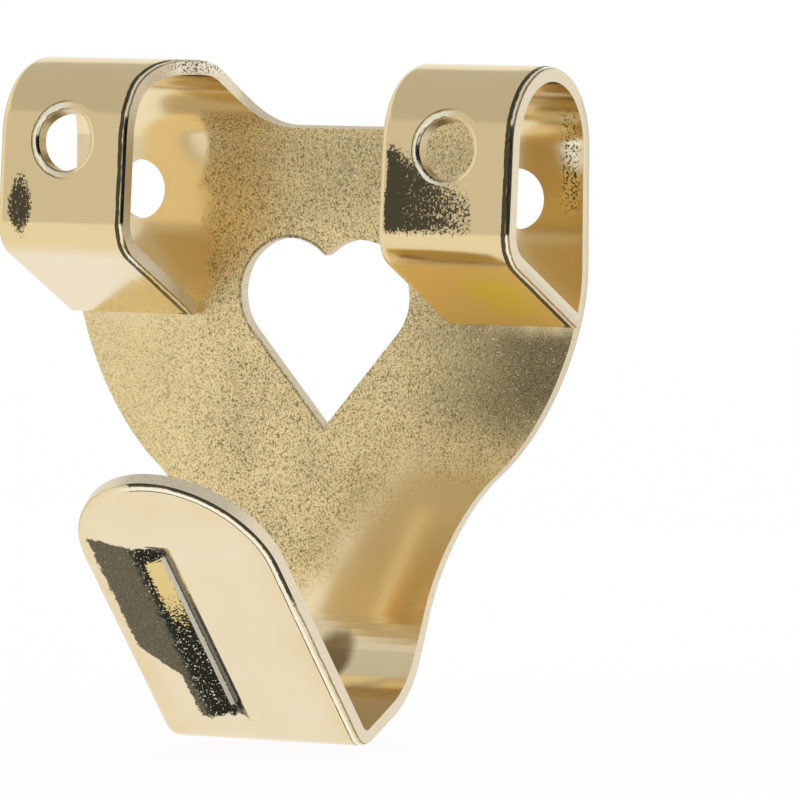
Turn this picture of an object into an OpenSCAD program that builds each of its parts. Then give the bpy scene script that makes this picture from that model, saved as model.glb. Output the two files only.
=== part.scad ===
// Double-nail picture hook, pressed and folded from one sheet of brass-plated steel.
// Origin: on the wall face, midway between the two nail holes in the back plate.
// X runs across the hook, -Y points away from the wall, +Z points up.

/* [Sheet] */
// thickness of the sheet that the whole hook is folded from
sheet_t = 0.8; // [0.4:0.05:1.5]

/* [Back plate] */
// overall width across the two nail loops
body_w = 30; // [24:0.5:60]
// drop from the nail holes to where the sides start to curve in
side_drop = 3.5; // [1:0.5:12]
// radius of the rounded sides below the loops
side_r = 14; // [8:0.5:16]
// radius of the hollow sides that lead into the neck
waist_r = 13; // [6:0.5:20]

/* [Nail loops] */
// width of each nail loop
loop_w = 7.5; // [5:0.1:12]
// rise of the loop tops above the nail holes in the back plate
loop_top_z = 6.85; // [5:0.05:12]
// outer radius of the top bend of a loop
loop_r = 4.15; // [2.5:0.05:6]
// forward lean of the front leg, in degrees from upright
leg_lean = 4; // [0:0.5:10]
// straight length of the front leg
leg_len = 4.4; // [4:0.1:9]
// outer radius of the bend at the foot of the front leg
foot_r = 2.1; // [1.2:0.1:3]
// slope of the flap that runs back to the plate, in degrees below level
flap_slope = 27; // [10:1:45]
// running gap between the end of the flap and the back plate
flap_gap = 0.15; // [0.05:0.05:1]

/* [Shoulders] */
// width of the shoulder that stands beside each loop
shoulder_w = 2.2; // [1:0.1:4]
// radius in the lower corners of the valley
valley_r = 3.45; // [1:0.05:5]
// height of the valley floor above the nail holes
valley_z = 3.45; // [2:0.05:6]
// distance from the wall face to where the left shoulder steps out
left_shoulder_y = 4.3; // [2:0.1:5]
// distance from the wall face to where the right shoulder steps out
right_shoulder_y = 1.9; // [1.6:0.1:5]
// radius where a shoulder steps out to the loop edge
step_r = 2; // [0.5:0.1:2.1]
// radius on the top corner of a shoulder
shoulder_r = 0.8; // [0.2:0.1:1.2]

/* [Nail holes] */
// diameter of the four nail holes
nail_hole_d = 3.1; // [1.5:0.1:4]
// sideways distance from the side edge to each nail hole
nail_inset = 3.8; // [2.5:0.1:6]
// rise of the front nail holes above the back ones
nail_rise = 2.65; // [1:0.05:3]

/* [Heart opening] */
// radius of the two upper lobes
lobe_r = 2.88; // [1.5:0.02:4]
// distance between the lobe centres
lobe_gap = 4.2; // [2:0.1:5]
// drop from the nail holes to the lobe centres
lobe_drop = 5.2; // [4.5:0.1:8]
// drop from the nail holes to the pointed lower end
heart_tip_drop = 12; // [10:0.1:18]

/* [Hook] */
// width of the neck and the lip
hook_w = 11.3; // [6:0.1:20]
// drop from the nail holes to where the neck starts to bend forward
neck_drop = 21.6; // [21:0.1:30]
// inner radius of the neck bend
neck_r = 4.7; // [2:0.1:8]
// angle through which the neck bends forward
neck_angle = 64.9; // [40:0.1:80]
// straight length between the neck bend and the fold
ramp_len = 2.5; // [1:0.1:6]
// inner radius of the fold at the foot of the lip
fold_r = 0.5; // [0.2:0.1:2]
// lean of the lip, in degrees forward of upright
lip_lean = 41.8; // [20:0.2:60]
// length of the lip from the fold to its rounded end
lip_len = 17.8; // [10:0.1:25]

/* [Lip rib] */
// depth of the pressed rib
rib_depth = 0.6; // [0.2:0.05:1]
// slope of the rib flanks, in degrees from the lip face
rib_slope = 30; // [20:1:45]
// length of the rib along the lip at its deepest line
rib_len = 11; // [4:0.1:13]
// distance from the fold to the lower end of the rib
rib_start = 1.4; // [1.3:0.1:4]
// sideways place of the rib on the lip
rib_x = -1.2; // [-3:0.1:3]

/* [Hidden] */
$fn = 96;
brass = [0.86, 0.74, 0.47];
// how far cutters run past what they cut
spare = 1;
// loops
bend_z = loop_top_z - loop_r;
bend_y = -loop_r;
mid_r = loop_r - sheet_t / 2;
loop_inner_x = body_w / 2 - loop_w;
nail_hole_x = body_w / 2 - nail_inset;
valley_half_w = loop_inner_x - shoulder_w;
corner_r = min(valley_r, valley_half_w);
arc_end = 180 - leg_lean;
leg_top = [bend_y + loop_r * cos(arc_end), bend_z + loop_r * sin(arc_end)];
leg_foot = leg_top - leg_len * [sin(leg_lean), cos(leg_lean)];
foot_centre = leg_foot + foot_r * [cos(leg_lean), -sin(leg_lean)];
foot_turn = 90 + leg_lean - flap_slope;
flap_start_y = foot_centre[0] - foot_r * sin(flap_slope);
flap_end_y = -sheet_t - flap_gap;
flap_len = (flap_end_y - flap_start_y - sheet_t * sin(flap_slope)) / cos(flap_slope);
// valley, cut square to the bend a little above its floor
floor_angle = asin(min(1, (valley_z - bend_z) / mid_r));
floor_tilt = 13;
floor_w = -mid_r * sin(floor_tilt);
// plate outline
side_x = body_w / 2 - side_r;
waist_x = hook_w / 2 + waist_r;
reach = side_r + waist_r;
waist_drop = side_drop + sqrt(reach * reach - pow(waist_x - side_x, 2));
turn_x = side_x + side_r * (waist_x - side_x) / reach;
turn_drop = side_drop + side_r * (waist_drop - side_drop) / reach;
// heart
heart_reach = norm([lobe_gap / 2, heart_tip_drop - lobe_drop]);
heart_turn = asin(lobe_r / heart_reach) + atan2(lobe_gap / 2, heart_tip_drop - lobe_drop);
heart_side = [lobe_gap / 2 + lobe_r * cos(heart_turn), -lobe_drop - lobe_r * sin(heart_turn)];
// hook section
fold_turn = 180 - lip_lean - neck_angle;
end_r = 1.01 * hook_w / 2;
fold_drop = neck_drop + (neck_r - fold_r) * sin(neck_angle) + ramp_len * cos(neck_angle);
hook_low = -fold_drop - fold_r - sheet_t;
// rib section
rib_half = rib_depth / tan(rib_slope);
ridge_foot = sheet_t * sin(rib_slope)
    + (sheet_t * cos(rib_slope) - sheet_t + rib_depth) / tan(rib_slope);

// a shape drawn in the Y-Z plane, pulled across X and centred
module across(width) {
    translate([-width / 2, 0, 0]) rotate([90, 0, 90]) linear_extrude(width) children();
}

// a shape drawn in the X-Z plane, pulled from the wall face towards -Y
module forward(depth) {
    rotate([90, 0, 0]) linear_extrude(depth) children();
}

// a bend in the side view: it starts on the X axis, heading along +Y, and turns to the left
module bend(inner_r, turn) {
    outer_r = inner_r + sheet_t;
    difference() {
        circle(outer_r);
        circle(inner_r);
        translate([-2 * outer_r, -2 * outer_r]) square([4 * outer_r, 2 * outer_r]);
        rotate(turn) translate([-2 * outer_r, 0]) square([4 * outer_r, 2 * outer_r]);
    }
}

// a straight length of sheet in the side view, heading along +Y
module straight(inner_x, length) {
    translate([inner_x, 0]) square([sheet_t, length]);
}

// side view of a nail loop: top bend, front leg, foot bend and flap
module loop_section() {
    translate([bend_y, bend_z]) {
        bend(loop_r - sheet_t, arc_end);
        rotate(arc_end) {
            straight(loop_r - sheet_t, leg_len);
            translate([loop_r - foot_r, leg_len]) {
                bend(foot_r - sheet_t, foot_turn);
                rotate(foot_turn) straight(foot_r - sheet_t, flap_len);
            }
        }
    }
}

// top view of one half of the space between the loops, with its stepped shoulder
module half_step(shoulder_y) {
    deep = 4 * loop_r;
    step_y = -shoulder_y;
    arc_y = step_y - step_r;
    translate([-spare, arc_y - deep]) square([loop_inner_x + spare, deep]);
    translate([-spare, arc_y]) square([loop_inner_x - step_r + spare, step_r]);
    translate([loop_inner_x - step_r, arc_y]) circle(step_r);
    translate([-spare, arc_y]) square([valley_half_w + spare, max(step_r, bend_y - arc_y)]);
    difference() {
        translate([valley_half_w - spare, step_y - spare])
            square([spare + shoulder_r, spare + shoulder_r]);
        translate([valley_half_w - 2 * spare, step_y])
            square([2 * spare, 2 * shoulder_r]);
        translate([valley_half_w + shoulder_r, step_y + shoulder_r])
            circle(shoulder_r);
    }
}

// the valley seen square to the bend: flat floor and round lower corners
module valley_outline() {
    tall = 4 * loop_r;
    corner_x = valley_half_w - corner_r;
    translate([-valley_half_w, floor_w + corner_r]) square([2 * valley_half_w, tall]);
    translate([-corner_x, floor_w]) square([2 * corner_x, corner_r + spare]);
    for (side = [-1, 1]) translate([side * corner_x, floor_w + corner_r]) circle(corner_r);
}

module loop_gap() {
    far = 4 * loop_r;
    translate([-loop_inner_x, -far, bend_z - far]) cube([2 * loop_inner_x, 2 * far, far]);
    translate([0, 0, bend_z - far]) linear_extrude(2 * far) {
        half_step(right_shoulder_y);
        mirror([1, 0]) half_step(left_shoulder_y);
    }
    translate([0, bend_y, bend_z]) rotate([floor_angle + floor_tilt, 0, 0])
        translate([0, far, 0]) forward(far) valley_outline();
}

module loops() {
    difference() {
        across(body_w) loop_section();
        loop_gap();
        for (side = [-1, 1]) translate([side * nail_hole_x, 0, 0]) front_hole();
    }
}

// bore through the front leg, square to it
module front_hole() {
    hole_y = leg_top[0] - (leg_top[1] - nail_rise) * tan(leg_lean);
    translate([0, hole_y, nail_rise]) rotate([90 - leg_lean, 0, 0])
        cylinder(h = 2 * loop_r, d = nail_hole_d, center = true);
}

// front view of the plate and the neck
module plate_outline() {
    translate([-body_w / 2, -side_drop]) square([body_w, side_drop + bend_z]);
    intersection() {
        for (side = [-1, 1]) translate([side * side_x, -side_drop]) circle(side_r);
        translate([-body_w / 2, -turn_drop]) square([body_w, turn_drop - side_drop]);
    }
    difference() {
        translate([-turn_x, hook_low - spare]) square([2 * turn_x, -turn_drop - hook_low + spare]);
        for (side = [-1, 1]) {
            translate([side * waist_x, -waist_drop]) circle(waist_r);
            translate([side * (hook_w / 2 + waist_r / 2), hook_low - waist_r / 2 - spare])
                square([waist_r, waist_r - 2 * (waist_drop + hook_low - spare)], center = true);
        }
    }
}

module heart_outline() {
    for (side = [-1, 1]) translate([side * lobe_gap / 2, -lobe_drop]) circle(lobe_r);
    polygon([[0, -heart_tip_drop], heart_side, [lobe_gap / 2, -lobe_drop],
        [-lobe_gap / 2, -lobe_drop], [-heart_side[0], heart_side[1]]]);
}

// places a side view where the ramp meets the fold, mirrored so that bends turn to the left
module at_fold() {
    translate([-sheet_t - neck_r, -neck_drop]) mirror([0, 1]) rotate(neck_angle)
        translate([neck_r - fold_r, ramp_len]) children();
}

// side view of the plate, the neck bend, the ramp and the fold
module back_section() {
    translate([-sheet_t, -neck_drop]) square([sheet_t, neck_drop + bend_z]);
    translate([-sheet_t - neck_r, -neck_drop]) mirror([0, 1]) bend(neck_r, neck_angle);
    at_fold() {
        translate([0, -ramp_len]) straight(fold_r, ramp_len);
        bend(fold_r, fold_turn);
    }
}

module back() {
    difference() {
        intersection() {
            across(body_w) back_section();
            forward(4 * neck_r) plate_outline();
        }
        translate([0, spare, 0]) forward(sheet_t + 2 * spare) heart_outline();
        for (side = [-1, 1]) translate([side * nail_hole_x, -sheet_t / 2, 0]) rotate([90, 0, 0])
            cylinder(h = sheet_t + 2 * spare, d = nail_hole_d, center = true);
    }
}

// cuts the end of the lip round, in the lip frame
module end_trim() {
    translate([0, lip_len - end_r, -spare]) linear_extrude(sheet_t + 2 * spare) difference() {
        translate([-hook_w, 0]) square([2 * hook_w, end_r + spare]);
        circle(end_r);
    }
}

// end view of the groove that the rib makes in the outer face
module groove_section() {
    top = sheet_t + spare;
    top_half = (rib_depth + spare) / tan(rib_slope);
    polygon([[0, sheet_t - rib_depth], [top_half, top], [-top_half, top]]);
}

// end view of the ridge that the rib raises on the inner face
module ridge_section() {
    rise = sheet_t * cos(rib_slope) - sheet_t + rib_depth;
    wall_x = sheet_t * sin(rib_slope);
    intersection() {
        union() {
            polygon([[-ridge_foot, 0], [-wall_x, -rise], [wall_x, -rise], [ridge_foot, 0]]);
            translate([0, sheet_t - rib_depth]) circle(sheet_t);
        }
        translate([-2 * ridge_foot, -2 * sheet_t]) square([4 * ridge_foot, 2 * sheet_t + rib_depth / 4]);
    }
}

// side view of the rib: sloped at both ends
module rib_side(low, high) {
    run = (high - low) / tan(rib_slope);
    polygon([[rib_start, low], [rib_start + rib_len, low],
        [rib_start + rib_len + run, high], [rib_start - run, high]]);
}

// lip frame: X across, Y along the lip, Z out of its outer face
module rib_groove() {
    intersection() {
        rotate([90, 0, 0]) translate([0, 0, -2 * lip_len]) linear_extrude(4 * lip_len) groove_section();
        across(2 * hook_w) rib_side(sheet_t - rib_depth, sheet_t + spare);
    }
}

module rib_ridge() {
    slant = sheet_t * tan(rib_slope / 2);
    intersection() {
        rotate([90, 0, 0]) translate([0, 0, -2 * lip_len]) linear_extrude(4 * lip_len) ridge_section();
        across(2 * hook_w) polygon([
            [rib_start - slant, -rib_depth], [rib_start + rib_len + slant, -rib_depth],
            [rib_start + rib_len + slant + rib_half, 0], [rib_start + rib_len + slant + rib_half, sheet_t],
            [rib_start - slant - rib_half, sheet_t], [rib_start - slant - rib_half, 0]]);
    }
}

// places the lip frame where the fold ends
module at_lip() {
    translate([0, -sheet_t - neck_r, -neck_drop]) mirror([0, 0, 1]) rotate([neck_angle, 0, 0])
        translate([0, neck_r - fold_r, ramp_len]) rotate([fold_turn, 0, 0])
            translate([0, fold_r, 0]) mirror([0, 1, 0]) rotate([90, 0, 0]) children();
}

module lip() {
    difference() {
        union() {
            across(hook_w) at_fold() rotate(fold_turn) straight(fold_r, lip_len);
            at_lip() translate([rib_x, 0, 0]) rib_ridge();
        }
        at_lip() {
            translate([rib_x, 0, 0]) rib_groove();
            end_trim();
        }
    }
}

module picture_hook() {
    color(brass) union() {
        back();
        loops();
        lip();
    }
}

picture_hook();
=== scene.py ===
# %% [markdown]
# # A picture hook with two nail loops
# It is folded from one sheet of brass-plated steel.
# The real hook starts as a flat blank. A press cuts its outline, its nail holes and a heart,
# stamps a rib into the lip, and bends the rest round its edges. This lesson does the same in
# the same order: a flat mesh is cut, its edges are drawn in as a punch leaves them, and the
# sheet is then bent along its side view. Sizes are in millimetres until the last step of the
# fold. The shape could also be boxes joined at the bends, but one bent sheet keeps its thickness
# everywhere and its holes where the punch put them.

import math

import bmesh
import bpy
from mathutils import Matrix, Vector


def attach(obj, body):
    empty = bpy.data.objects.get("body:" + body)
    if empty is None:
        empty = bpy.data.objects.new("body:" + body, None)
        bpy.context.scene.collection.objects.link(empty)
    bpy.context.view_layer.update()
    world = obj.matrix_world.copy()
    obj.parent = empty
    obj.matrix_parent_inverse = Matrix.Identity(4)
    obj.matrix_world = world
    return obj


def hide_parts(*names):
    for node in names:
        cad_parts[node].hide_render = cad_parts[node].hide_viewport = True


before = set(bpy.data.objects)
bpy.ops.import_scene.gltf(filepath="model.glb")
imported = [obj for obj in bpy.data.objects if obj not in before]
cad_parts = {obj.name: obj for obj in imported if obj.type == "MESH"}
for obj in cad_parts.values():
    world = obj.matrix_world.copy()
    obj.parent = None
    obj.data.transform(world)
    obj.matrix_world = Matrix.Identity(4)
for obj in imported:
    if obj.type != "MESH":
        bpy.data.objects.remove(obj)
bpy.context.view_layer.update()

# %% [markdown]
# The side view of the sheet is one line of straights and round bends, so it can be walked like
# a path. Distance along it is called run. On the back plate run is simply the height above the
# nail holes. Above the plate the path bends into the nail loops, and below it into the hook.
# Each part is a bend radius (0 for a straight) and a length, at the middle of the sheet. MM turns
# a millimetre into the metres of the frame.

# %% Sizes of the folded sheet
MM = 0.001
SHEET = 0.8
TINY = 1e-5
PLATE_TOP, PLATE_FOOT = 2.7, -21.6
TOP_BEND = math.radians(176)
FOOT_BEND = math.radians(67)
NECK_BEND = math.radians(64.9)
FOLD_BEND = math.radians(73.3)
TOP_R, LEG, FOOT_R, FLAP = 3.75, 4.4, 1.7, 6.893
NECK_R, RAMP, FOLD_R, LIP = 5.1, 2.5, 0.9, 17.8
LOOP_PARTS = [(TOP_R, TOP_R * TOP_BEND), (0, LEG), (FOOT_R, FOOT_R * FOOT_BEND), (0, FLAP)]
HOOK_PARTS = [(NECK_R, NECK_R * NECK_BEND), (0, RAMP), (FOLD_R, FOLD_R * FOLD_BEND), (0, LIP)]
LOOP_END = PLATE_TOP + sum(length for radius, length in LOOP_PARTS)
LIP_START = PLATE_FOOT - sum(length for radius, length in HOOK_PARTS[:3])
LIP_END = LIP_START - LIP
print("flat blank runs from", round(LIP_END, 2), "to", round(LOOP_END, 2), "mm")

# %% [markdown]
# The path is walked part by part. A straight goes on in the same direction, and a bend swings
# round a centre that lies square to the path. Bezier curves would come close, but arcs are what a
# bending tool leaves, and with them the sheet keeps its length through every bend.


# %% Walk the side view
def leftwards(angle):
    return Vector((-math.sin(angle), math.cos(angle)))


def onwards(angle):
    return Vector((math.cos(angle), math.sin(angle)))


def step_along(point, angle, radius, length):
    if radius == 0:
        return point + length * onwards(angle), angle
    turned = angle + length / radius
    centre = point + radius * leftwards(angle)
    return centre - radius * leftwards(turned), turned


def side_view(run):
    """Point (Y, Z) on the middle of the sheet, and the direction of travel there."""
    upwards = run >= PLATE_TOP
    start = PLATE_TOP if upwards else PLATE_FOOT
    point, angle = Vector((-SHEET / 2, start)), math.pi / 2
    if PLATE_FOOT <= run <= PLATE_TOP:
        return Vector((-SHEET / 2, run)), angle
    left, way = abs(run - start), 1 if upwards else -1
    parts = LOOP_PARTS if upwards else HOOK_PARTS
    for i, (radius, length) in enumerate(parts):
        last = i == len(parts) - 1
        used = left if last else min(left, length)
        point, angle = step_along(point, angle, radius, way * used)
        left -= used
        if left <= 0:
            break
    return point, angle


print("front of the loops, Y:", round(side_view(PLATE_TOP + 12)[0].x - SHEET / 2, 2))
print("lowest point, Z:", round(side_view(LIP_START + 0.3)[0].y - SHEET / 2, 2))

# %% [markdown]
# The blank's outline has straight lines joined by round corners, so it starts as a polygon with
# sharp corners, and a vertex bevel rounds each one. The bevel's offset is the distance from the
# corner to where the round starts. Big offsets make the flowing sides and the round lip end.

# %% Corners of the blank: across, run, and offset of the round
HALF_NECK = 5.65
HALF_WIDTH = 14.999
LOOP_SIDE = 7.5
SIDE_RUN, NECK_RUN = -9.907, -17.98
OUTLINE = [
    (5.3, 3.45, 1.9), (5.3, 6.0, 0.6), (6.55, 6.35, 0.6), (LOOP_SIDE, 8.5, 0.9),
    (LOOP_SIDE, LOOP_END, 0), (HALF_WIDTH, LOOP_END, 0),
    (HALF_WIDTH, SIDE_RUN, 6.4), (HALF_NECK, NECK_RUN, 5.9),
    (HALF_NECK, LIP_END, 5.6), (-HALF_NECK, LIP_END, 5.6),
    (-HALF_NECK, NECK_RUN, 5.9), (-HALF_WIDTH, SIDE_RUN, 6.4),
    (-HALF_WIDTH, LOOP_END, 0), (-LOOP_SIDE, LOOP_END, 0), (-LOOP_SIDE, 11.0, 0.9),
    (-6.55, 8.85, 0.6), (-5.3, 8.45, 0.6), (-5.3, 3.45, 3.4),
]
SMALL_ROUND, FEW_STEPS, MANY_STEPS = 2, 10, 28


def rounded_outline(bm, corners):
    verts = [bm.verts.new((x, run, 0)) for x, run, offset in corners]
    bm.faces.new(verts)
    for vert, (x, run, offset) in zip(verts, corners):
        if offset:
            bmesh.ops.bevel(
                bm, geom=[vert], offset=offset, offset_type="OFFSET", affect="VERTICES",
                segments=FEW_STEPS if offset < SMALL_ROUND else MANY_STEPS,
                profile=0.5, material=-1,
            )
    return bm.faces[:][0]


print("corners of the blank:", len(OUTLINE))

# %% [markdown]
# A punch drags the metal down with it, so one side of every cut edge is drawn in and rounded,
# and the other side stays sharp. Narrow insets of each outline make rings of points beside the
# cut edge. Every point keeps the number of its ring, 0 at the cut, and the plating reads it later.
# The rings are made while each outline is still one face, because an inset of many thin triangles
# would fold them over.

# %% Rings beside a cut edge
ROLL_WIDTH, ROLL_DEPTH, ROLL_RINGS = 0.45, 0.15, 4
blank = bmesh.new()
ring_no = blank.verts.layers.float.new("ring")
wall_side = blank.verts.layers.float.new("outside")


def add_rings(bm, face, numbers):
    for number in numbers:
        for vert in face.verts:
            vert[ring_no] = number
        if number != numbers[-1]:
            bmesh.ops.inset_region(
                bm, faces=[face], use_boundary=True, use_even_offset=True, use_interpolate=False,
                use_relative_offset=False, use_edge_rail=False, thickness=ROLL_WIDTH / ROLL_RINGS,
                depth=0, use_outset=False,
            )
    bmesh.ops.delete(bm, geom=[face], context="FACES_ONLY")


add_rings(blank, rounded_outline(blank, OUTLINE), range(ROLL_RINGS + 1))
print("points of the outline and its rings:", len(blank.verts))

# %% [markdown]
# The openings are made the same way, from an outline that is larger by the width of the rings.
# Nail holes are circles. For the heart, one point is spun round the centre of a lobe and joined
# to the pointed tip, and the mirror makes the other half. Cutting with a solid would be shorter,
# but it leaves no rings beside the cut.

# %% Openings: nail holes and heart
NAIL_X, NAIL_R = 11.2, 1.55
BEND_TO_HOLE = 0.34
LEG_HOLE_RUN = PLATE_TOP + TOP_R * TOP_BEND + BEND_TO_HOLE
INTO_HOLE = range(ROLL_RINGS, -1, -1)
HOLES = [(side * NAIL_X, run) for side in (-1, 1) for run in (0, LEG_HOLE_RUN)]
LOBE, LOBE_R = Vector((2.1, -5.2, 0)), 2.88
TIP_RUN, HEART_ANGLE = -12.0, math.radians(41.03)
HOLE_STEPS, LOBE_STEPS = 48, 32
CLOSE = 1e-4


def face_from(bm, verts_before):
    made = [v for v in bm.verts if v not in verts_before]
    edges = [e for e in bm.edges if e.verts[0] in made and e.verts[1] in made]
    return bmesh.ops.contextual_create(bm, geom=edges)["faces"][0]


def heart_face(bm, spread):
    before = set(bm.verts)
    lobe = LOBE_R + spread
    notch = Vector((0, LOBE.y + math.sqrt(lobe**2 - LOBE.x**2), 0))
    sweep = math.atan2(notch.y - LOBE.y, -LOBE.x) + HEART_ANGLE
    start = bm.verts.new(notch)
    made = bmesh.ops.spin(
        bm, geom=[start], cent=LOBE, axis=(0, 0, 1), angle=-sweep, steps=LOBE_STEPS,
        use_merge=False,
    )
    side = [g for g in made["geom_last"] if isinstance(g, bmesh.types.BMVert)][0]
    tip = bm.verts.new((0, TIP_RUN - spread / math.sin(HEART_ANGLE), 0))
    bm.edges.new((side, tip))
    half = [v for v in bm.verts if v not in before]
    edges = [e for e in bm.edges if e.verts[0] in half and e.verts[1] in half]
    bmesh.ops.mirror(bm, geom=half + edges, axis="X", merge_dist=CLOSE)
    doubles = [v for v in bm.verts if v not in before]
    bmesh.ops.remove_doubles(bm, verts=doubles, dist=CLOSE)
    return face_from(bm, before)


print("nail holes across and along:", [(x, round(run, 2)) for x, run in HOLES])

# %% [markdown]
# On the back plate and on each leg a nail hole is punched, so that a nail slopes down to the wall
# through both. Triangle fill then covers the area between the innermost ring of the outline and
# the outermost rings of the openings.

# %% Punch the openings and fill the sheet
for x, run in HOLES:
    before = set(blank.verts)
    bmesh.ops.create_circle(
        blank, cap_ends=False, radius=NAIL_R + ROLL_WIDTH, segments=HOLE_STEPS,
        matrix=Matrix.Translation((x, run, 0)),
    )
    add_rings(blank, face_from(blank, before), INTO_HOLE)
add_rings(blank, heart_face(blank, ROLL_WIDTH), INTO_HOLE)
inner_edges = [
    e for e in blank.edges
    if len(e.link_faces) == 1 and all(v[ring_no] == ROLL_RINGS for v in e.verts)
]
bmesh.ops.triangle_fill(
    blank, use_beauty=True, use_dissolve=False, edges=inner_edges, normal=(0, 0, 1)
)
print("faces of the flat blank:", len(blank.faces))
print("flat area in mm2:", round(sum(f.calc_area() for f in blank.faces), 1))

# %% [markdown]
# Extruding the filled area gives the sheet its thickness. The rings are then lowered along a
# curve, which makes the drawn-in edge. It is on the wall side, which becomes the outside of the
# loops and of the lip, where it shows round the nail holes too. A plain bevel on the cut would be
# round at both sides of the sheet, and a punch rounds only one.

# %% Thickness and drawn-in edges
bmesh.ops.recalc_face_normals(blank, faces=blank.faces[:])
grown = bmesh.ops.extrude_face_region(blank, geom=blank.faces[:])
raised = [g for g in grown["geom"] if isinstance(g, bmesh.types.BMVert)]
bmesh.ops.translate(blank, verts=raised, vec=(0, 0, SHEET))
for vert in raised:
    vert[wall_side] = 1
    vert.co.z -= ROLL_DEPTH * max(0, 1 - vert[ring_no] / ROLL_RINGS) ** 2
bmesh.ops.recalc_face_normals(blank, faces=blank.faces[:])
print("sheet faces:", len(blank.faces))
print("open edges:", sum(not e.is_manifold for e in blank.edges))

# %% [markdown]
# Bending needs rows of edges across the sheet wherever it curves, closer together in the tight
# fold. A bisect plane cuts each row through the whole sheet. The lip gets extra cuts in both
# directions, because the rib is pressed into it.

# %% Rows of edges for the bends
DEGREES_PER_ROW = 4.5


def bend_rows(start, parts, way):
    rows, at = [], start
    for radius, length in parts:
        if radius:
            count = math.ceil(math.degrees(length / radius) / DEGREES_PER_ROW)
            rows += [at + way * length * i / count for i in range(count + 1)]
        at += way * length
    return rows


def cut_rows(bm, rows, direction, faces=None):
    for row in rows:
        chosen = [f for f in bm.faces if faces is None or faces(f.calc_center_median())]
        verts = {v for f in chosen for v in f.verts}
        edges = {e for f in chosen for e in f.edges}
        bmesh.ops.bisect_plane(
            bm, geom=list(verts) + list(edges) + chosen, dist=TINY,
            plane_co=Vector(direction) * row, plane_no=direction,
        )


cut_rows(blank, bend_rows(PLATE_TOP, LOOP_PARTS, 1), (0, 1, 0))
cut_rows(blank, bend_rows(PLATE_FOOT, HOOK_PARTS, -1), (0, 1, 0))
print("faces after the bend rows:", len(blank.faces))

# %% [markdown]
# The rib is a pressed groove with a straight foot. Its left side is wide and hollow, its right
# side narrow and almost flat, and each end runs out in a short ramp. Its depth at a point is the
# smallest of these slopes. A die would press it in one blow, so it is one sum here too. The cuts
# lie closest together at its foot, where the slopes meet.

# %% The rib on the lip
RIB_X, RIB_DEPTH, RIB_LOW, RIB_HIGH, RIB_END = -1.2, 0.6, 1.4, 12.4, 1.04
RIB_LEFT, RIB_RIGHT = 1.45, 1.0
LEFT_CURVE, RIGHT_CURVE = 1.5, 1.08
CUTS_FROM, CUTS_LENGTH, CUTS = 0.05, 14.35, 56
FROM_RIB_FOOT = (
    -1.5, -1.3, -1.1, -0.9, -0.7, -0.55, -0.4, -0.27, -0.16, -0.07,
    0, 0.07, 0.16, 0.3, 0.5, 0.7, 0.85, 0.95, 1.03, 1.12,
)


def rib_depth_at(x, up_the_lip):
    side = (RIB_X - x) / RIB_LEFT if x < RIB_X else (x - RIB_X) / RIB_RIGHT
    across = max(0, 1 - side) ** (LEFT_CURVE if x < RIB_X else RIGHT_CURVE)
    ends = min((up_the_lip - RIB_LOW) / RIB_END, (RIB_HIGH - up_the_lip) / RIB_END) + 1
    return RIB_DEPTH * min(across, max(0, ends), 1)


def on_the_lip(co):
    return LIP_START - CUTS_FROM - CUTS_LENGTH < co.y < LIP_START - CUTS_FROM


rib_rows = [LIP_START - CUTS_FROM - i * CUTS_LENGTH / CUTS for i in range(CUTS + 1)]
cut_rows(blank, rib_rows, (0, 1, 0))
cut_rows(blank, [RIB_X + d for d in FROM_RIB_FOOT], (1, 0, 0), on_the_lip)
print("faces after the rib lines:", len(blank.faces))

# %% [markdown]
# Now the sheet is folded. Each point keeps its place across the hook, its run gives a point on
# the side view, and its height in the sheet moves it square to the sheet. The rib is pressed in
# at the same time, by lowering both faces of the lip together.

# %% Fold the sheet
SHARP_ANGLE = math.radians(38)


def fold(bm):
    for vert in bm.verts:
        x, run, height = vert.co
        lift = height - SHEET / 2
        if run < LIP_START:
            lift -= rib_depth_at(x, LIP_START - run)
        point, angle = side_view(run)
        place = point - lift * leftwards(angle)
        vert.co = (x, place.x, place.y)


fold(blank)
bmesh.ops.remove_doubles(blank, verts=blank.verts[:], dist=TINY)
bmesh.ops.recalc_face_normals(blank, faces=blank.faces[:])
for edge in blank.edges:
    if len(edge.link_faces) == 2 and edge.calc_face_angle(0) > SHARP_ANGLE:
        edge.smooth = False
for face in blank.faces:
    face.smooth = True
bmesh.ops.scale(blank, vec=(MM, MM, MM), verts=blank.verts[:])
if blank.calc_volume(signed=True) < 0:
    bmesh.ops.reverse_faces(blank, faces=blank.faces[:])
print("volume in mm3:", round(blank.calc_volume() / MM**3, 1))
print("open edges:", sum(not e.is_manifold for e in blank.edges))

# %% [markdown]
# The finished mesh becomes one object. The sheet is flat in most places and tightly bent in
# others, so the weighted normals follow the large faces and keep the flats flat. Then the object
# is
# tied to the frame: it rides on the root and replaces the plain solid.

# %% Make the hook an object on the frame
hook_mesh = bpy.data.meshes.new("folded_hook")
blank.to_mesh(hook_mesh)
blank.free()
hook = bpy.data.objects.new("folded_hook", hook_mesh)
bpy.context.collection.objects.link(hook)
even = hook.modifiers.new("even normals", "WEIGHTED_NORMAL")
even.keep_sharp = True
even.weight = 50
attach(hook, "root")
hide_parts("picture_hook")
print("hook polygons:", len(hook_mesh.polygons))

# %% [markdown]
# The finish is thin brass plating. Where the sheet was bent or ironed it is polished and mirrors
# its surroundings, so one mirror image in another turns a deeper gold. The back plate keeps the
# fine grain of the rolled sheet. The shader is written as sums: a small class wraps a socket,
# so that adding or multiplying two of them adds the Math node. Every other node comes from its
# method `node`, which takes the node's type, its settings and what goes into its sockets.


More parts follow.
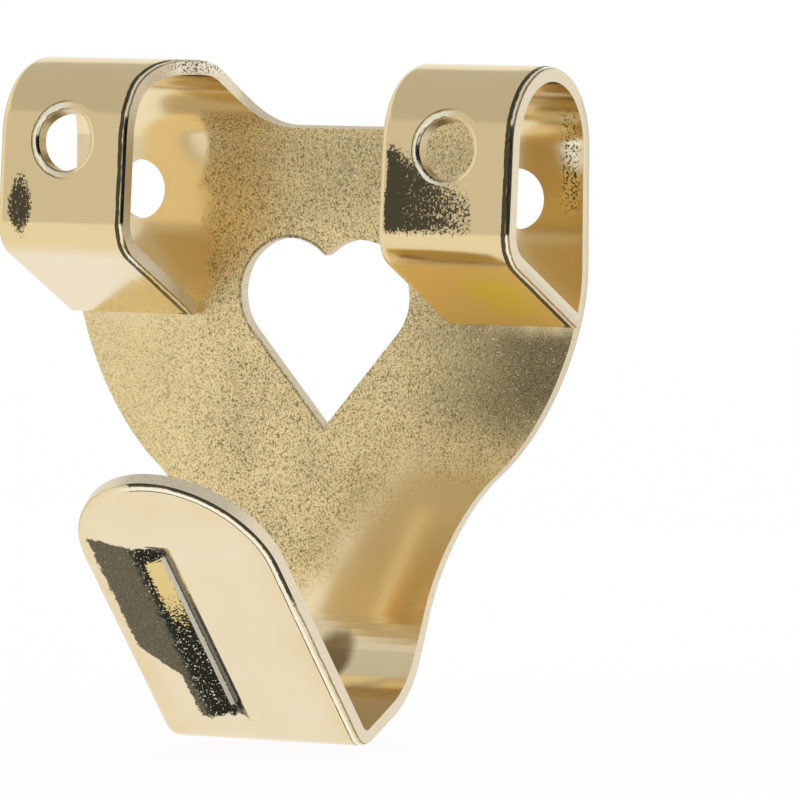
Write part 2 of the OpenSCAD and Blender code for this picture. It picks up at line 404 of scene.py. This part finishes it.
# %% Shader sums
class Wire:
    """A socket of a node tree that can be used in Python sums."""

    def __init__(self, tree, socket):
        self.tree, self.socket = tree, socket

    def node(self, kind, settings=None, values=None, out=0):
        made = self.tree.nodes.new(kind)
        for name, value in (settings or {}).items():
            setattr(made, name, value)
        for name, value in (values or {}).items():
            if isinstance(value, Wire):
                value.feed(made, name)
            else:
                made.inputs[name].default_value = value
        return Wire(self.tree, made.outputs[out])

    def feed(self, node, name):
        self.tree.links.new(self.socket, node.inputs[name])

    def twin(self, name):
        """Another output of the same node."""
        return Wire(self.tree, self.socket.node.outputs[name])

    def maths(self, operation, a, b=0.0):
        return self.node("ShaderNodeMath", {"operation": operation}, {0: a, 1: b})

    def __add__(self, other):
        return self.maths("ADD", self, other)

    def __radd__(self, other):
        return self.maths("ADD", other, self)

    def __sub__(self, other):
        return self.maths("SUBTRACT", self, other)

    def __rsub__(self, other):
        return self.maths("SUBTRACT", other, self)

    def __mul__(self, other):
        return self.maths("MULTIPLY", self, other)

    def __rmul__(self, other):
        return self.maths("MULTIPLY", other, self)

    def size(self):
        return self.maths("ABSOLUTE", self)

    def either(self, other):
        return self.maths("MAXIMUM", self, other)

    def at_most(self, limit):
        return self.maths("MINIMUM", self, limit)

    def ease(self, low, high):
        """0 up to low, 1 from high, and a soft step between."""
        return self.node(
            "ShaderNodeMapRange", {"interpolation_type": "SMOOTHSTEP"},
            {"Value": self, "From Min": low, "From Max": high, "To Min": 0.0, "To Max": 1.0},
        )

    def fade(self, low, high):
        """1 up to low, 0 from high."""
        return 1 - self.ease(low, high)

    def within(self, low, high, soft):
        """1 between low and high, with soft borders."""
        return self.ease(low - soft, low + soft) * self.fade(high - soft, high + soft)

    def noise(self, scale, detail=2.0, rough=0.5):
        return self.node(
            "ShaderNodeTexNoise", {"noise_dimensions": "3D"},
            {"Vector": self, "Scale": scale, "Detail": detail, "Roughness": rough},
        )

    def wobble(self, scale):
        """Noise that swings evenly round 0."""
        return self.noise(scale) - 0.5


def paint(under, over, where):
    """Colour over laid on colour under, as strongly as where says."""
    settings = {"data_type": "RGBA", "blend_type": "MIX"}
    return where.node("ShaderNodeMix", settings, {0: where, 6: under, 7: over}, out=2)


print("sums ready:", [name for name in vars(Wire) if not name.startswith("_")])

# %% [markdown]
# The plating reads its place on the hook in millimetres, so every mask can use the sizes of the
# sheet. `edge` is 1 on the cut itself and fades to 0 at the innermost ring, and `outside` is 1 on
# the side that was next to the wall before the bends: the front of the loops and of the lip.
# Pairs such as LIP_TOP are places in millimetres: a soft border starts at one and ends at the
# other. The first four are depths, and the last two are heights.

# %% Where a point lies on the hook
plating = bpy.data.materials.new("brass plating")
plating.use_nodes = True
surface = plating.node_tree.nodes["Principled BSDF"]
seed = Wire(plating.node_tree, surface.outputs[0])
place = seed.node("ShaderNodeTexCoord", out="Object")
in_mm = seed.node("ShaderNodeVectorMath", {"operation": "SCALE"}, {0: place, "Scale": 1 / MM})
across = seed.node("ShaderNodeSeparateXYZ", None, {0: in_mm}, out="X")
depth, height = across.twin("Y"), across.twin("Z")

PLATE_FRONT, FLAP_END = (-1.25, -0.95), (-1.1, -0.9)
LIP_BACK, LEG_BACK = (-6.0, -5.0), (-7.6, -7.0)
LIP_TOP, LEG_FOOT = (-14.0, -12.5), (-3.2, -2.6)

ring = seed.node("ShaderNodeAttribute", {"attribute_name": "ring"}, out="Fac")
outside = seed.node("ShaderNodeAttribute", {"attribute_name": "outside"}, out="Fac")
outside = outside.ease(0.45, 0.55)
inside = 1 - outside
edge = 1 - (1 / ROLL_RINGS) * ring
print("the plating reads the attributes ring and outside")

# %% [markdown]
# Noise of several sizes breaks up every mask, because no tool leaves a straight border: a slow
# wander moves the borders, a cloud changes the tone, two fine ones are grain and specks, and a
# jagged one frays the edges of dark places.

# %% Noise
wander = in_mm.wobble(scale=0.45)
cloud = in_mm.noise(scale=0.3, detail=3.0)
fine = in_mm.noise(scale=11.0, detail=3.0, rough=0.6)
specks = in_mm.noise(scale=8.0, rough=0.55)
scatter = specks - 0.5
jagged = 0.5 * in_mm.wobble(scale=3.5)
rough_edge = edge + 0.25 * in_mm.wobble(scale=1.2) + 0.5 * jagged
wavy_height = height + 2.0 * wander


def oval(centre_x, centre_z, narrow_x, narrow_z, ragged):
    """Above 0 in an oval as seen from the front. A narrow of 0.5 reaches 2 mm out."""
    x, z = narrow_x * (across - centre_x), narrow_z * (height - centre_z)
    return 1 - x * x - z * z + ragged * wander


print("nodes so far:", len(plating.node_tree.nodes))

# %% [markdown]
# Bare plating has two tones. The side that faces the wall before bending is ironed by the die and
# ends up a little deeper. The lip and the left flap are paler and milkier, warmer again towards
# the border of the lip, and every edge is warm where the plating is thickest.

# %% Tones of the bare plating
BRASS, DEEP_BRASS = (0.87, 0.725, 0.46, 1), (0.81, 0.645, 0.36, 1)
PALE_BRASS, WARM_BRASS = (0.87, 0.77, 0.58, 1), (0.80, 0.63, 0.32, 1)
on_plate = depth.ease(*PLATE_FRONT)
off_plate = depth.fade(*FLAP_END)
on_lip = outside * depth.fade(*LIP_BACK) * height.fade(*LIP_TOP)
LIP_AT, LIP_ANGLE = side_view(LIP_START)
up_y, up_z = -onwards(LIP_ANGLE)
up_lip = (depth - LIP_AT.x) * up_y + (height - LIP_AT.y) * up_z
left_flap = outside * height.within(-8.0, -3.0, 0.4) * across.fade(-6.0, -5.0)
pale = on_lip.either(left_flap * off_plate)
lip_border = on_lip * across.size().ease(3.4, 5.6).either(up_lip.ease(13.8, 17.6))

colour = paint(BRASS, DEEP_BRASS, outside)
colour = paint(colour, PALE_BRASS, pale * (0.95 - 0.4 * cloud))
colour = paint(colour, WARM_BRASS, lip_border * (1.3 * cloud - 0.25))
colour = paint(colour, WARM_BRASS, 0.45 * edge.ease(-0.2, 0.3) * cloud)
print("the lip's foot lies at", [round(v, 2) for v in LIP_AT], "mm in depth and height")

# %% [markdown]
# The back plate keeps the grain of the rolled sheet, which is a dense field of small dark pits
# between bright ones. It fades into the polished neck, and it stops near the loops, where the
# bending tool ironed it flat. It is denser to the right, and darkest under the right loop, where
# little light comes in.

# %% Grain of the back plate
GRAIN_BRASS, GRAIN_PALE = (0.96, 0.765, 0.39, 1), (0.95, 0.85, 0.57, 1)
OLIVE, DEEP_OLIVE = (0.24, 0.20, 0.11, 1), (0.098, 0.080, 0.040, 1)
between_loops = (across + 2.2 * wander).within(-7.2, 9.6, 0.5)
below_loops = wavy_height.fade(-7.5, -5.5)
above_neck = (height - (0.95 * across).at_most(4.5) + 3.5 * wander).ease(-21.0, -16.6)
grain = on_plate * above_neck * between_loops.either(below_loops).either(outside)
dark_grain = grain * (0.5 + 0.5 * (across + 3.0 * wander).ease(-12.5, -5.0))
under_loop = (across + 1.5 * wander).ease(2.5, 13.5) * wavy_height.within(-12.0, -4.0, 2.0)
shade = grain * inside * under_loop.either(0.28 * wavy_height.ease(-3.0, 2.0))

pits = 0.5 * cloud - 0.15 + 0.62 * fine.ease(0.47, 0.60)
colour = paint(colour, GRAIN_BRASS, grain * inside)
colour = paint(colour, OLIVE, dark_grain * pits)
colour = paint(colour, DEEP_OLIVE, dark_grain * specks.fade(0.36, 0.42) * 0.7)
colour = paint(colour, DEEP_OLIVE, shade * (0.84 + 1.6 * scatter))
colour = paint(colour, GRAIN_PALE, grain * specks.ease(0.60, 0.70) * 0.6)
print("grain laid on the back plate, nodes:", len(plating.node_tree.nodes))

# %% [markdown]
# Light thrown to and fro between the right loop's folds turns its flap a strong gold, with a
# yellow spot in it. Metal alone can't get that deep from one or two mirror images, so the flap is
# painted and made less metallic. In the fold under the lip a brown painted shade lies on the
# plating, darker where the neck runs in.

# %% Golden flap and painted shade in the fold
FLAP_GOLD, YELLOW, BROWN = (1.0, 0.62, 0.15, 1), (1.0, 0.66, 0.07, 1), (0.26, 0.175, 0.08, 1)
right_flap = outside * across.ease(6.0, 7.0) * height.fade(-3.4, -2.8) * off_plate
yellow = oval(12.4, -4.8, 0.42, 0.7, 1.0).ease(0.0, 1.2)
behind_lip = inside * depth.fade(-2.6, -2.0) * height.fade(-25.0, -24.4)
neck_shade = oval(1.0, -23.4, 0.7, 0.62, 1.2).ease(0.0, 0.8)
in_fold = (0.5 * behind_lip).either(0.95 * neck_shade * inside * depth.fade(-0.9, -0.7))

colour = paint(colour, paint(FLAP_GOLD, YELLOW, yellow), right_flap)
# Painted shade in the fold under the lip, darker where the neck runs in.
colour = paint(colour, BROWN, in_fold * (0.7 + 0.6 * cloud))
print("flap and fold painted")

# %% [markdown]
# Some places mirror dark things in the real studio and look almost black with bright specks. They
# are painted into the colour as dark reflections, so that they show in any light. The largest is
# beside the rib on the lip: olive at its left, black towards the rib, with a painted gold glint at
# the rib's head and one painted bright line along its foot. Its borders follow the rib's own
# straight foot and head.

# %% Painted reflections round the rib
OLIVE_GREY, NEAR_BLACK = (0.115, 0.098, 0.060, 1), (0.022, 0.022, 0.014, 1)
GOLD, PALE = (0.80, 0.62, 0.27, 1), (0.95, 0.90, 0.72, 1)
RIB_FOOT = 1.1
SHARP = 0.08
up_rib = up_lip - RIB_FOOT
left_border = 0.9 * (4.9 - up_rib).either(0.0).at_most(2.0) - 4.9
head_border = 11.5 - 0.26 * (across + 0.4)
rib_patch = (
    on_lip * (across - left_border + jagged).ease(-SHARP, SHARP)
    * (jagged - 0.45 - across).ease(-SHARP, SHARP)
    * (head_border - up_rib + jagged).ease(-SHARP, SHARP)
    * (up_rib + 0.1 + jagged).ease(-SHARP, SHARP)
)
patch_border = rib_patch * (1 - rib_patch)
near_rib = (across + 2.0 * jagged).ease(-3.0, -2.4) * (1 - 0.8 * across.ease(-1.25, -1.15))
glint_area = (
    across.within(-2.25, -1.35, 0.25) * up_rib.ease(4.5, 10.0) * up_rib.fade(10.6, 11.2)
)
glint = (1.1 * glint_area + 2.0 * scatter).ease(0.35, 0.75)
foot_line = (across + 1.33).size().fade(0.07, 0.12) * up_rib.within(0.4, 11.0, 0.1)

# Painted reflections beside the rib: olive and black, with pale specks, a gold glint and a bright
# line.
colour = paint(colour, OLIVE_GREY, rib_patch * (0.82 + 0.18 * fine.ease(0.3, 0.5)))
black_part = near_rib.either(4.0 * patch_border * fine.ease(0.4, 0.5))
colour = paint(colour, NEAR_BLACK, rib_patch * black_part)
colour = paint(colour, PALE, rib_patch * near_rib * specks.ease(0.60, 0.66) * 0.8)
colour = paint(colour, GOLD, rib_patch * glint)
colour = paint(colour, PALE, rib_patch * foot_line)
print("rib patch painted, nodes:", len(plating.node_tree.nodes))

# %% [markdown]
# The front leg of each loop carries a painted dark reflection at its left. On the right loop this
# reaches under the nail hole with a slanting top, and on the left loop it is a small upright oval.
# Specks break up both.

# %% Painted dark reflections on the loops
front_leg = outside * depth.fade(*LEG_BACK) * height.ease(*LEG_FOOT)
from_leg_side = across - 8.0
right_leg = (
    (across + 0.6 * wander).within(7.85, 12.9, 0.15) * (height + jagged).ease(-1.9, -1.2)
    * (3.0 - 0.6 * from_leg_side - height + 1.5 * wander).ease(-0.6, 0.9)
    * (1.15 - 0.14 * from_leg_side)
)
left_leg = oval(-13.7, -0.7, 1.15, 0.5, 0.6).ease(0.0, 0.8)
dark_leg = front_leg * right_leg.either(0.95 * left_leg)
leg_patch = (0.9 * dark_leg + 2.0 * scatter).ease(0.30, 0.70) * dark_leg.ease(0.05, 0.3)
print("leg patches ready")

# %% [markdown]
# Along the right side of every part that stands forward, the drawn-in edge turns away from the
# light and mirrors the dark side of the room. That gives a dark band, a bright line and a thin
# dark line before the cut. The lip has a finer set at its right side and round its head: a thin
# dark line, a bright one, and a dark one up to the cut. The rings tell how far in each one lies.

# %% Bands along the edges
loop_right_side = across.ease(14.3, 14.5).either(across.within(-8.3, -7.0, 0.1))
loop_rim = outside * loop_right_side * depth.fade(-1.4, -1.0)
right_half = across.ease(-2.5, 0.0)
lip_rim = on_lip * across.ease(4.7, 5.0).either(up_lip.ease(12.0, 13.5) * right_half)
lip_head = up_lip.ease(8.0, 12.0) * right_half
loop_band = loop_rim * rough_edge.within(0.06, 0.52, 0.06)
lip_band = lip_rim * rough_edge.within(0.02, 0.16, 0.05)
lip_head_line = lip_rim * lip_head * rough_edge.within(0.62, 1.1, 0.05)
bands = (loop_band.either(lip_band) * edge.ease(0.005, 0.05)).either(lip_head_line)
bands = (1.2 * bands + specks - 0.85).ease(0.0, 0.25)
rims = outside * loop_rim.either(lip_rim)
thin_line = outside * rough_edge.within(0.80, 0.99, 0.05) * (0.25 + 0.55 * rims)
lip_bright = lip_rim * edge.within(0.18, 0.55, 0.05)
bright_line = (loop_rim * edge.within(0.58, 0.74, 0.05)).either(lip_bright)
print("bands ready")

# %% [markdown]
# A punched hole has the same drawn-in edge all round. Seen from the front, the left half of that
# edge turns towards the dark side of the room, so it has two dark lines with a bright one between.

# %% Arcs round the nail holes in the legs
from_nail = across.size() - NAIL_X
rightwards = across.maths("SIGN", across) * from_nail
hole_ring = front_leg * from_nail.size().fade(2.2, 2.3) * edge.ease(0.02, 0.1)
left_arc = hole_ring * rightwards.fade(-0.6, 0.6)
hole_bright = left_arc * rough_edge.within(0.35, 0.75, 0.06)
arc_lines = rough_edge.within(0.05, 0.22, 0.04).either(rough_edge.within(0.84, 0.99, 0.04))
hole_dark = left_arc * arc_lines

# Painted dark reflections on the legs, along the edges and round the holes, then the painted
# bright lines and thin dark lines.
colour = paint(colour, NEAR_BLACK, 0.92 * leg_patch.either(bands).either(0.8 * hole_dark))
colour = paint(colour, PALE, bright_line.either(hole_bright))
colour = paint(colour, NEAR_BLACK, 0.8 * thin_line)
print("legs and edges painted, nodes:", len(plating.node_tree.nodes))

# %% [markdown]
# The cut goes through the plating into pale metal with a few dark pits. Two small places have a
# painted sparkle of black and pale specks: the left shoulder beside its loop, and the back of the
# right loop's inside. The heart's left border carries a broken dark line, just inside its drawn-in
# edge.

# %% Cut metal, sparkling places and the heart's border
CUT_METAL = (0.82, 0.72, 0.54, 1)
cut_wall = edge.ease(0.97, 1.0)
shoulder = across.within(-6.8, -4.7, 0.3) * height.ease(5.9, 6.4)
loop_back = inside * across.within(13.8, 14.8, 0.3) * height.within(-0.4, 4.4, 0.8)
sparkle = shoulder.either(loop_back * depth.ease(-2.0, -1.4))
at_heart = on_plate * across.size().fade(5.6, 5.9) * height.within(-13.2, -1.6, 0.2)
heart_side = at_heart * inside * across.fade(-0.3, 0.3)
heart_line = heart_side * rough_edge.within(0.62, 0.92, 0.05)

colour = paint(colour, CUT_METAL, cut_wall)
colour = paint(colour, OLIVE, cut_wall * fine.ease(0.60, 0.68) * 0.6)
# Painted sparkle: black and pale specks.
colour = paint(colour, NEAR_BLACK, sparkle * specks.fade(0.40, 0.46) * 0.9)
colour = paint(colour, PALE, sparkle * specks.ease(0.50, 0.56))
colour = paint(colour, NEAR_BLACK, 0.75 * heart_line * fine.fade(0.46, 0.60))
colour = paint(colour, PALE, 0.6 * heart_line * fine.ease(0.54, 0.64))
print("colour finished, nodes:", len(plating.node_tree.nodes))

# %% [markdown]
# Polish follows the same masks: the grain, the dark places, the cut and the golden flap are
# softer than the ironed metal. The bump is fine on the grain, and one slow wave makes the mirror
# images waver as they do in pressed sheet.

# %% Polish, bump and metal
dark = leg_patch.either(rib_patch * near_rib)
soft_places = cut_wall.either(right_flap)
IRONED = 0.12
polish = IRONED + 0.20 * grain + 0.10 * dark + 0.05 * cloud + 0.25 * soft_places
GRAIN_HEIGHT, WAVE_HEIGHT = 0.003, 0.03
grain_relief = GRAIN_HEIGHT * (grain + 0.7 * dark) * fine
wave = WAVE_HEIGHT * in_mm.noise(scale=0.22, detail=1.0)
relief = {"Strength": 1.0, "Distance": MM, "Height": grain_relief + wave}
bump = seed.node("ShaderNodeBump", None, relief)
metal = 1 - (rib_patch * foot_line).either(0.75 * right_flap)
colour.feed(surface, "Base Color")
metal.feed(surface, "Metallic")
polish.feed(surface, "Roughness")
bump.feed(surface, "Normal")
hook_mesh.materials.append(plating)
print("plating nodes:", len(plating.node_tree.nodes))

# %% [markdown]
# The studio is plain: a white floor, a wide soft ceiling and one soft lamp. Polished brass shows
# whatever is round it, so a grey ceiling gives the loops their calm tops, and a dark screen out
# of view draws dark lines along the rounded edges that face right. A grey card at the left is what
# the plate and the legs mirror towards the camera, and it keeps them deeper than the lip.

# %% Studio helpers
WHITE = (1, 1, 1, 1)


def plain_sheet(name, size, at, facing):
    bm = bmesh.new()
    turn = Vector(facing).to_track_quat("Z", "Y").to_matrix().to_4x4()
    bmesh.ops.create_grid(bm, x_segments=1, y_segments=1, size=0.5)
    bmesh.ops.scale(bm, vec=(size[0], size[1], 1), verts=bm.verts[:])
    bmesh.ops.transform(bm, matrix=Matrix.Translation(at) @ turn, verts=bm.verts[:])
    mesh = bpy.data.meshes.new(name)
    bm.to_mesh(mesh)
    bm.free()
    made = bpy.data.objects.new(name, mesh)
    bpy.context.collection.objects.link(made)
    return made


def glowing_sheet(name, size, at, facing, strength):
    """A sheet of even light that only reflections and the light itself can see."""
    sheet = plain_sheet(name, size, at, facing)
    glow = bpy.data.materials.new(name)
    glow.use_nodes = True
    nodes = glow.node_tree.nodes
    wire = Wire(glow.node_tree, nodes["Principled BSDF"].outputs[0])
    light = wire.node("ShaderNodeEmission", None, {"Color": WHITE, "Strength": strength})
    light.feed(nodes["Material Output"], "Surface")
    nodes.remove(nodes["Principled BSDF"])
    sheet.data.materials.append(glow)
    sheet.visible_camera = False
    sheet.visible_shadow = False
    return sheet


def straight_look(wire):
    """1 for rays of the camera, of mirror images and through clear things, 0 for the light."""
    ray = wire.node("ShaderNodeLightPath", out="Is Camera Ray")
    return ray.either(ray.twin("Is Glossy Ray")).either(ray.twin("Is Transmission Ray"))


print("studio helpers ready")

# %% [markdown]
# The floor is pale and matt, and holds the hook's shadow. Looked at straight, or in a mirror
# image, it is mostly an even white of its own, so that the picture ends in white on every side.

# %% Floor
FLOOR_Z, FLOOR_SIZE = -0.0282, 16
OWN_WHITE, WHITE_SHARE = 1.03, 0.88
floor = plain_sheet("floor", (FLOOR_SIZE, FLOOR_SIZE), (0, 0, FLOOR_Z), (0, 0, 1))
floor_paint = bpy.data.materials.new("white floor")
floor_paint.use_nodes = True
matt = floor_paint.node_tree.nodes["Principled BSDF"]
matt.inputs["Base Color"].default_value = (0.9, 0.9, 0.9, 1)
matt.inputs["Roughness"].default_value = 0.9
matt.inputs["Specular IOR Level"].default_value = 0.0
lit = Wire(floor_paint.node_tree, matt.outputs[0])
bright = lit.node("ShaderNodeEmission", None, {"Color": WHITE, "Strength": OWN_WHITE})
share = WHITE_SHARE * straight_look(lit)
mixed = lit.node("ShaderNodeMixShader", None, {0: share, 1: lit, 2: bright})
mixed.feed(floor_paint.node_tree.nodes["Material Output"], "Surface")
floor.data.materials.append(floor_paint)
print("floor at", FLOOR_Z, "m")

# %% [markdown]
# The sheets round the hook stand out of sight. Their brightness is what the brass shows: the
# ceiling on the tops of the loops, the card on the plate and the legs.

# %% Ceiling, card and screen
glowing_sheet(
    "grey ceiling", size=(1.6, 1.6), at=(0, -0.1, 0.62), facing=(0, 0, -1), strength=0.62
)
glowing_sheet(
    "grey card", size=(0.62, 0.36), at=(-0.25, -0.44, 0.13), facing=(0.25, 0.44, 0),
    strength=0.76,
)
glowing_sheet(
    "dark screen", size=(0.28, 0.7), at=(0.26, -0.70, 0.10), facing=(-0.26, 0.70, 0),
    strength=0.0,
)
print("stage pieces: floor, ceiling, card and screen")

# %% [markdown]
# The surroundings are a soft white. The lamp is a wide disk at the upper left, aimed at the hook.
# It lights the hook but is kept out of mirror images, because a polished bend would show it as a
# hard white band.

# %% World and lamp
world = bpy.data.worlds.new("white surroundings")
bpy.context.scene.world = world
world.use_nodes = True
background = world.node_tree.nodes["Background"]
background.inputs["Color"].default_value = WHITE
sky = Wire(world.node_tree, background.outputs[0])
LIGHT_STRENGTH, SEEN_STRENGTH = 0.95, 1.0
strength = LIGHT_STRENGTH + (SEEN_STRENGTH - LIGHT_STRENGTH) * straight_look(sky)
strength.feed(background, "Strength")

LAMP_AT = Vector((-0.28, -0.42, 0.55))
lamp = bpy.data.lights.new("soft lamp", "AREA")
lamp.shape, lamp.size, lamp.energy = "DISK", 1.0, 1.5
lamp_object = bpy.data.objects.new("soft lamp", lamp)
bpy.context.collection.objects.link(lamp_object)
lamp_object.location = LAMP_AT
lamp_object.visible_glossy = False
lamp_object.rotation_mode = "QUATERNION"
lamp_object.rotation_quaternion = LAMP_AT.to_track_quat("Z", "Y")
print("lamp", round(LAMP_AT.length, 2), "m from the hook")

# %% [markdown]
# The camera stands far away with a long lens, to the right of the hook and a little above it, so
# that the hook shows its front and its right side with little perspective. Its turn was found by
# matching traced points of the hook's edges.

# %% Camera and colour
camera_data = bpy.data.cameras.new("camera")
LENS_MM, SENSOR_MM = 410.1, 36
CAMERA_AT = (0.233701, -0.406060, 0.015328)
camera_data.lens, camera_data.sensor_width = LENS_MM, SENSOR_MM
camera_data.clip_start, camera_data.clip_end = 0.05, 40
camera = bpy.data.objects.new("camera", camera_data)
bpy.context.collection.objects.link(camera)
right, up, back = (
    Vector((0.87015535, 0.49271087, 0.00810345)),
    Vector((-0.03428401, 0.04412653, 0.99843751)),
    Vector((0.49158344, -0.86907355, 0.05528904)),
)
turn = Matrix((right, up, back)).transposed().to_4x4()
camera.matrix_world = Matrix.Translation(CAMERA_AT) @ turn
bpy.context.scene.camera = camera
bpy.context.scene.view_settings.view_transform = "Standard"
print("camera at", [round(v, 3) for v in camera.matrix_world.translation], "m")

# %% [markdown]
# The box of the finished hook must stay inside the box it started with.
